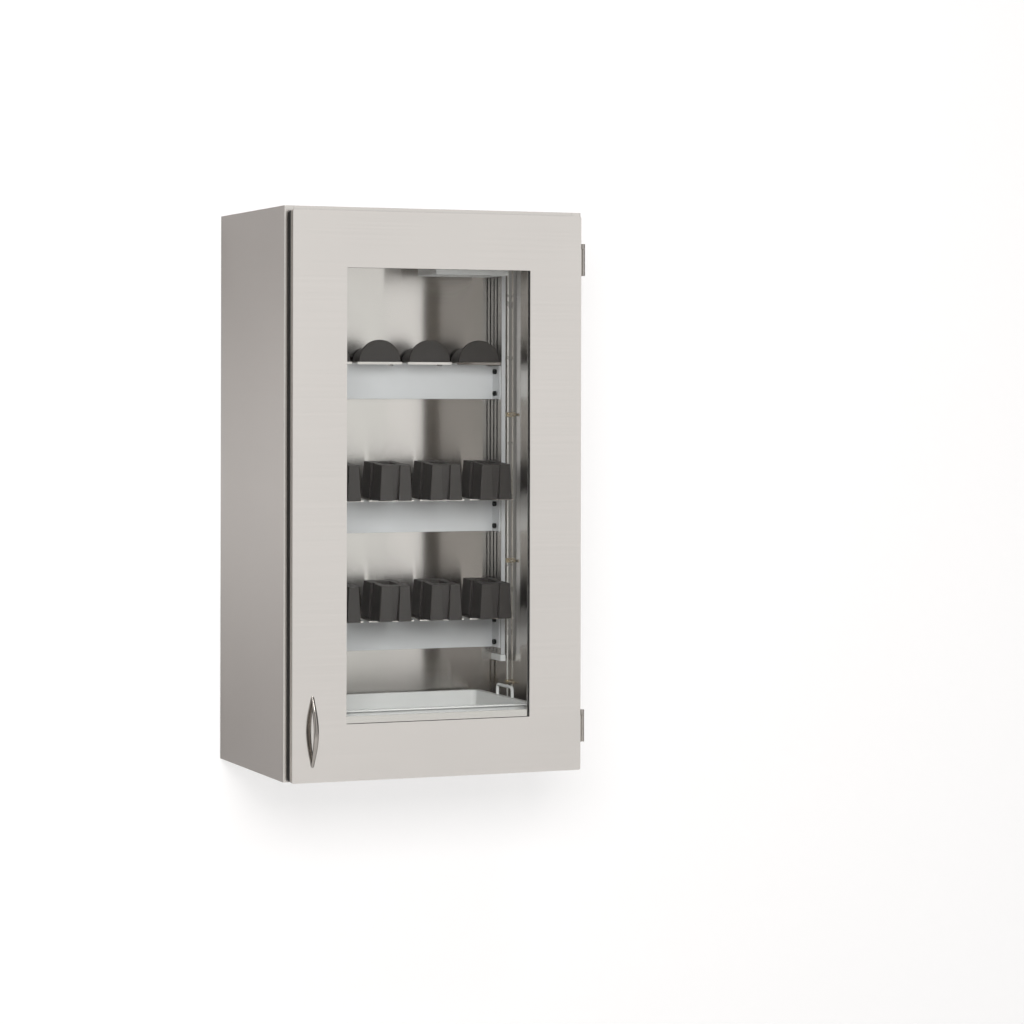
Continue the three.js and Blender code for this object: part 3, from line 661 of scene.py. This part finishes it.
def dress_tray():
    """A moulded tray with round corners, a turned-out lip and a fillet round its floor."""
    low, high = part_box("drip_tray")
    centre = (low + high) / 2
    wall_x = (high.x - low.x) / 2 - TRAY_LIP
    wall_y = (high.y - low.y) / 2 - TRAY_LIP
    lip_low = high.z - TRAY_WALL
    floor = low.z + TRAY_WALL

    def ring(inset, z):
        radius = max(TRAY_CORNER - inset, TRAY_LEAST_CORNER)
        return rounded_ring(centre, wall_x - inset, wall_y - inset, radius, z)

    def taper(z):
        return TRAY_TAPER * (high.z - z) / (high.z - low.z)

    def fillet(inset, z):
        """Rings from a level floor up into the wall round it."""
        rings = []
        for step in range(FILLET_STEPS + 1):
            angle = math.pi / 2 * step / FILLET_STEPS
            lift = TRAY_FILLET * (1 - math.cos(angle))
            rings.append(ring(inset + taper(z + lift) + TRAY_FILLET * (1 - math.sin(angle)), z + lift))
        return rings

    rings = [
        *fillet(0, low.z),
        ring(taper(lip_low - TRAY_EDGE), lip_low - TRAY_EDGE),
        ring(taper(lip_low) - TRAY_EDGE, lip_low),
        ring(TRAY_EDGE - TRAY_LIP, lip_low),
        ring(-TRAY_LIP, lip_low + TRAY_EDGE),
        ring(-TRAY_LIP, high.z - TRAY_EDGE),
        ring(TRAY_EDGE - TRAY_LIP, high.z),
        ring(TRAY_WALL - TRAY_EDGE, high.z),
        ring(TRAY_WALL, high.z - TRAY_EDGE),
        *reversed(fillet(TRAY_WALL, floor)),
    ]
    add_piece(skin_of_rings(rings), "drip_tray", tray_plastic)
    for side in SIDES:
        soften(f"tray_handle_{side}", TRAY_HANDLE_EDGE, material=tray_plastic)


# Studio
def stage_paint(name, colour):
    """Matt white-glowing paint, with its node tree and its shader."""
    material = bpy.data.materials.new(name)
    material.use_nodes = True
    shader = material.node_tree.nodes["Principled BSDF"]
    shader.inputs["Base Color"].default_value = (*colour, 1.0)
    shader.inputs["Roughness"].default_value = 1.0
    shader.inputs["Specular IOR Level"].default_value = 0.0
    shader.inputs["Emission Color"].default_value = WHITE
    return material, material.node_tree, shader


def set_glow(tree, shader, seen, mirrored):
    """Lets paint glow by one strength for the camera and by another for mirrors."""
    path = add_node(tree, "ShaderNodeLightPath")
    for_camera = scaled(tree, path.outputs["Is Camera Ray"], seen)
    for_mirrors = scaled(tree, path.outputs["Is Glossy Ray"], mirrored)
    tree.links.new(summed(tree, for_camera, for_mirrors), shader.inputs["Emission Strength"])


def wall_paint():
    """Paint on the side towards the room only, with a painted reflection: a glow that only mirrors see,
    brightest at the height of the cabinet's middle.
    """
    material, tree, shader = stage_paint("backdrop_paint", WALL_COLOUR)
    side = add_node(tree, "ShaderNodeNewGeometry")
    place = add_node(tree, "ShaderNodeSeparateXYZ")
    level = add_node(tree, "ShaderNodeMath", operation="ABSOLUTE")
    tree.links.new(side.outputs["Position"], place.inputs["Vector"])
    tree.links.new(place.outputs["Z"], level.inputs[0])
    end = CAD_BOX[1].z
    # Painted reflection: the glow mirrors see, brightest at mid-height and fading to none at the top and
    # bottom
    mirrored = mapped(tree, level.outputs["Value"], 0.0, end, WALL_PAINTED_REFLECTION_MIDDLE, WALL_PAINTED_REFLECTION_END)
    set_glow(tree, shader, WALL_GLOW, mirrored)
    clear = add_node(tree, "ShaderNodeBsdfTransparent")
    output = tree.nodes["Material Output"]
    show_mix(tree, output, side.outputs["Backfacing"], shader.outputs["BSDF"], clear.outputs["BSDF"])
    return material


def floor_paint():
    material, tree, shader = stage_paint("floor_paint", FLOOR_COLOUR)
    set_glow(tree, shader, FLOOR_GLOW, FLOOR_MIRRORED)
    return material


def add_plane(name, corners, faces, material):
    mesh = bpy.data.meshes.new(name)
    mesh.from_pydata(corners, [], faces)
    mesh.materials.append(material)
    plane = bpy.data.objects.new(name, mesh)
    bpy.context.scene.collection.objects.link(plane)


def add_studio():
    """A pale wall over a pale floor. The wall is open from the back, and cut away behind the cabinet."""
    half = WALL_SIZE / 2
    floor_z = CAD_BOX[0].z - FLOOR_DROP
    wall_y = CAD_BOX[1].y + WALL_GAP
    low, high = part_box("back_panel")
    left, right = low.x + WALL_OVERLAP, high.x - WALL_OVERLAP
    lower, upper = low.z + WALL_OVERLAP, high.z - WALL_OVERLAP
    rim = [(-half, floor_z), (half, floor_z), (half, half), (-half, half)]
    hole = [(left, lower), (right, lower), (right, upper), (left, upper)]
    wall = [(x, wall_y, z) for x, z in rim + hole]
    count = len(rim)
    strips = [(i, (i + 1) % count, (i + 1) % count + count, i + count) for i in range(count)]
    add_plane("backdrop", wall, strips, wall_paint())
    floor = [(-half, -half, floor_z), (half, -half, floor_z), (half, half, floor_z), (-half, half, floor_z)]
    add_plane("floor", floor, [(0, 1, 2, 3)], floor_paint())


def room_brightness(tree):
    """How bright the room is in each direction: darker about some headings, at every height."""
    place = add_node(tree, "ShaderNodeTexCoord")
    flatten = add_node(tree, "ShaderNodeVectorMath", {1: (1.0, 1.0, 0.0)}, operation="MULTIPLY")
    level = add_node(tree, "ShaderNodeVectorMath", operation="NORMALIZE")
    tree.links.new(place.outputs["Generated"], flatten.inputs[0])
    tree.links.new(flatten.outputs["Vector"], level.inputs[0])
    brightness = None
    for dark in DARK_HEADINGS:
        closeness = add_node(tree, "ShaderNodeVectorMath", {1: dark["heading"]}, operation="DOT_PRODUCT")
        tree.links.new(level.outputs["Vector"], closeness.inputs[0])
        near = math.cos(math.radians(dark["half"]))
        far = math.cos(math.radians(dark["fade"]))
        here = mapped(tree, closeness.outputs["Value"], far, near, 1.0, dark["strength"])
        brightness = scaled(tree, here, brightness) if brightness else here
    return brightness


def add_lamp(name, place, size, power, target, mirrored=False):
    """A rectangular lamp that the camera doesn't see, turned to a target."""
    lamp = bpy.data.lights.new(name, "AREA")
    lamp.shape = "RECTANGLE"
    lamp.size, lamp.size_y = size
    lamp.energy = power
    holder = bpy.data.objects.new(name, lamp)
    holder.location = place
    holder.rotation_euler = (Vector(target) - Vector(place)).to_track_quat("-Z", "Y").to_euler()
    holder.visible_camera = False
    holder.visible_glossy = mirrored
    bpy.context.scene.collection.objects.link(holder)


def light_studio():
    """A pale room for sight and for reflections, a softer sky for light, and four lamps."""
    world = bpy.data.worlds.new("studio")
    bpy.context.scene.world = world
    world.use_nodes = True
    tree = world.node_tree
    tree.nodes.clear()
    output = add_node(tree, "ShaderNodeOutputWorld")
    sky = add_node(tree, "ShaderNodeBackground", {"Color": (*SKY_COLOUR, 1.0), "Strength": SKY_STRENGTH})
    seen = add_node(tree, "ShaderNodeBackground", {"Color": WHITE})
    tree.links.new(room_brightness(tree), seen.inputs["Strength"])
    path = add_node(tree, "ShaderNodeLightPath")
    share = path.outputs["Is Camera Ray"]
    for kind in ("Is Glossy Ray", "Is Transmission Ray"):
        share = summed(tree, share, path.outputs[kind])
    show_mix(tree, output, share, sky.outputs["Background"], seen.outputs["Background"])
    behind_fill = (FILL_PLACE[0], 0.0, FILL_PLACE[2])
    beside_gap = (0.0, GAP_PLACE[1], GAP_PLACE[2])
    add_lamp("key", KEY_PLACE, KEY_SIZE, KEY_POWER, LAMP_TARGET)
    add_lamp("top", TOP_PLACE, TOP_SIZE, TOP_POWER, LAMP_TARGET, mirrored=True)
    add_lamp("fill", FILL_PLACE, FILL_SIZE, FILL_POWER, behind_fill)
    add_lamp("rail_gap", GAP_PLACE, GAP_SIZE, GAP_POWER, beside_gap)


def add_camera():
    lens = bpy.data.cameras.new("camera")
    lens.lens = CAMERA_LENS
    lens.sensor_width = CAMERA_SENSOR
    lens.shift_y = CAMERA_SHIFT_Y
    camera = bpy.data.objects.new("camera", lens)
    camera.location = CAMERA_PLACE
    camera.rotation_euler = (math.pi / 2, -CAMERA_ROLL, CAMERA_YAW)
    bpy.context.scene.collection.objects.link(camera)
    bpy.context.scene.camera = camera


add_camera()
light_studio()
add_studio()
dress_case()
dress_door()
dress_hinges()
dress_pull()
dress_fittings()
dress_tray()
bpy.context.scene.view_settings.view_transform = "Standard"
